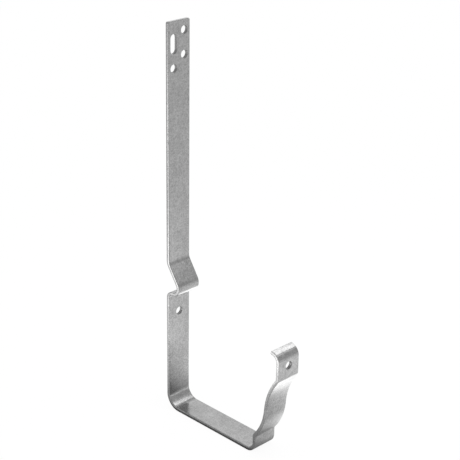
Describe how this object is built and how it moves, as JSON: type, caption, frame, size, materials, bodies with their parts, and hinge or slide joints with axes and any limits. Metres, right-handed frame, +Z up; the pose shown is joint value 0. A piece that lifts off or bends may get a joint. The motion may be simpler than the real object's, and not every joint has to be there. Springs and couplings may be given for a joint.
{
  "type": "gutter bracket",
  "caption": "Long-arm gutter bracket bent from one galvanised flat bar, with a nose over the gutter's back edge, an ogee front, a front hook and punched fixing holes.",
  "frame": {"origin": "on the back face of the arm, in the middle of the bar's width, level with the centre of the fixing slot", "axes": "X across the bar, +Y into the wall that the arm is fixed to, -Y out over the gutter, +Z up along the arm"},
  "size_m": [0.03, 0.168, 0.44],
  "materials": {
    "galvanised_steel": "hot-dip galvanised, satin grey with a fine mottle"
  },
  "bodies": {
    "root": {"gutter_bracket": "galvanised_steel"}
  },
  "joints": []
}
